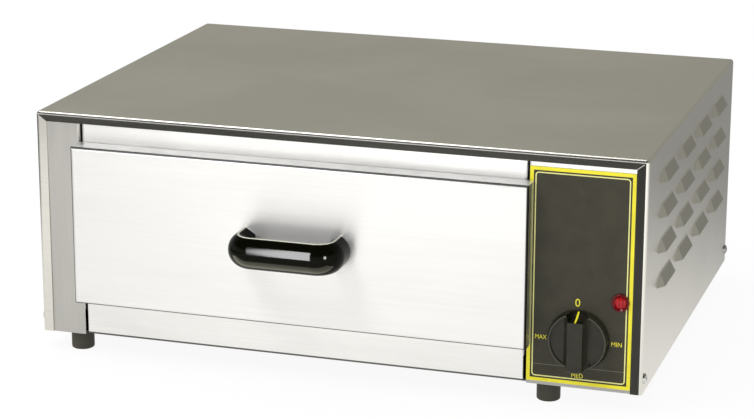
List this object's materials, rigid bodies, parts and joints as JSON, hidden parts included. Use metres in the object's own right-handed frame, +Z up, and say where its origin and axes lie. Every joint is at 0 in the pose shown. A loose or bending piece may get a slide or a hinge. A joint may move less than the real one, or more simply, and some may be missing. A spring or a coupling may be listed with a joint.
{
  "type": "bun warming cabinet",
  "caption": "Countertop cabinet that keeps bread rolls warm: folded steel casing on rubber feet, heated pull-out drawer, rotary control with pilot lamp, side vent louvres.",
  "frame": {"origin": "on the counter, under the middle of the whole cabinet, its handle, knob, louvres and gland included", "axes": "+X to the right as seen from the front, +Y to the rear (the drawer faces -Y), +Z up"},
  "size_m": [0.5529, 0.483, 0.219],
  "materials": {
    "casing_steel": "brushed stainless steel sheet, satin",
    "front_steel": "brushed stainless steel sheet, satin, grain along the front",
    "inner_steel": "plain steel sheet, dull",
    "zinc_steel": "zinc plated steel",
    "screw_steel": "stainless steel, polished",
    "element_sheath": "heat darkened steel sheath",
    "ceramic": "unglazed ceramic",
    "copper": "drawn copper",
    "overlay_film": "printed film, satin, dark grey with yellow print",
    "black_gloss": "moulded phenolic, glossy black",
    "knob_black": "moulded thermoplastic, satin black",
    "lens_red": "clear red moulding",
    "terminal_plastic": "moulded nylon, off white",
    "black_plastic": "moulded nylon, black",
    "wire_sleeve": "silicone sleeve, white",
    "foot_rubber": "moulded rubber, dark grey",
    "fitting_brass": "turned brass"
  },
  "bodies": {
    "cabinet": {"outer_casing": "casing_steel", "base_tray": "inner_steel", "rear_panel": "inner_steel", "left_stile": "front_steel", "front_frame": "front_steel", "control_panel": "front_steel", "control_overlay": "overlay_film", "chamber_liner": "inner_steel", "chamber_supports": "inner_steel", "partition": "inner_steel", "runner_left": "zinc_steel", "runner_right": "zinc_steel", "heating_element": "element_sheath", "element_terminals": "ceramic", "element_nuts": "fitting_brass", "element_brackets": "inner_steel", "thermostat_body": "black_plastic", "thermostat_nut": "zinc_steel", "thermostat_sensor": "copper", "bulb_clips": "zinc_steel", "pilot_lens": "lens_red", "pilot_body": "terminal_plastic", "pilot_clip": "zinc_steel", "terminal_block": "terminal_plastic", "terminal_screws": "zinc_steel", "earth_stud": "fitting_brass", "internal_wiring": "wire_sleeve", "cable_gland": "black_plastic", "gland_nut": "black_plastic", "foot_front_left": "foot_rubber", "foot_front_right": "foot_rubber", "foot_rear_left": "foot_rubber", "foot_rear_right": "foot_rubber", "foot_screws": "zinc_steel", "foot_nuts": "zinc_steel", "casing_screws": "screw_steel", "rear_screws": "screw_steel"},
    "drawer": {"drawer_front": "front_steel", "drawer_inner_plate": "inner_steel", "drawer_box": "inner_steel", "rail_left": "zinc_steel", "rail_right": "zinc_steel", "drawer_handle": "black_gloss", "handle_screws": "zinc_steel"},
    "knob": {"control_knob": "knob_black", "thermostat_shaft": "zinc_steel"}
  },
  "joints": [
    {"name": "drawer_slide", "type": "slide", "parent": "cabinet", "child": "drawer", "axis": [0, -1, 0], "range_m": [0, 0.3]},
    {"name": "knob_turn", "type": "hinge", "parent": "cabinet", "child": "knob", "pos_m": [0.2177, -0.1835, 0.06], "axis": [0, 1, 0], "range_deg": [0, 270]}
  ]
}
